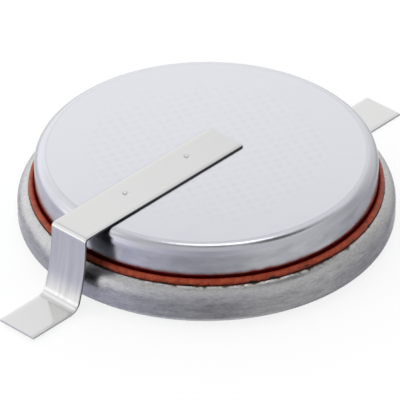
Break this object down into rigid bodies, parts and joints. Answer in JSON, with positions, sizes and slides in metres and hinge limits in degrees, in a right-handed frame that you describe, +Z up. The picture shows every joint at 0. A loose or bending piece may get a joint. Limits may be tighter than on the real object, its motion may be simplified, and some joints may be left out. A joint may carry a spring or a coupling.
{
  "type": "lithium coin cell with solder tabs",
  "caption": "Round lithium coin cell: crimped steel can, cap and plastic gasket around its electrodes, with a flat solder tab welded to each pole, one bent down to board level.",
  "frame": {"origin": "on the cell's axis, at the underside of the positive tab that the cell lies on", "axes": "+Z up along the cell's axis, from the positive can to the negative cap; the negative tab's foot points to -X and the positive tab's end to +X"},
  "size_m": [0.035, 0.0244, 0.0053],
  "materials": {
    "can_steel": "nickel-plated pressed steel, smooth and bright",
    "cap_steel": "bright pressed steel, satin on top with a fine dimpled grid",
    "gasket_plastic": "red-brown moulded plastic with a soft gloss",
    "tab_nickel": "nickel strip with fine lengthwise rolling marks",
    "ring_steel": "plain stainless sheet",
    "pellet_black": "pressed manganese dioxide and carbon powder, matt black",
    "separator_fibre": "off-white non-woven polypropylene",
    "lithium_metal": "soft dull silver metal"
  },
  "bodies": {
    "root": {"positive_can": "can_steel", "negative_cap": "cap_steel", "sealing_gasket": "gasket_plastic", "collector_ring": "ring_steel", "cathode_pellet": "pellet_black", "separator": "separator_fibre", "lithium_anode": "lithium_metal", "negative_tab": "tab_nickel", "positive_tab": "tab_nickel"}
  },
  "joints": []
}
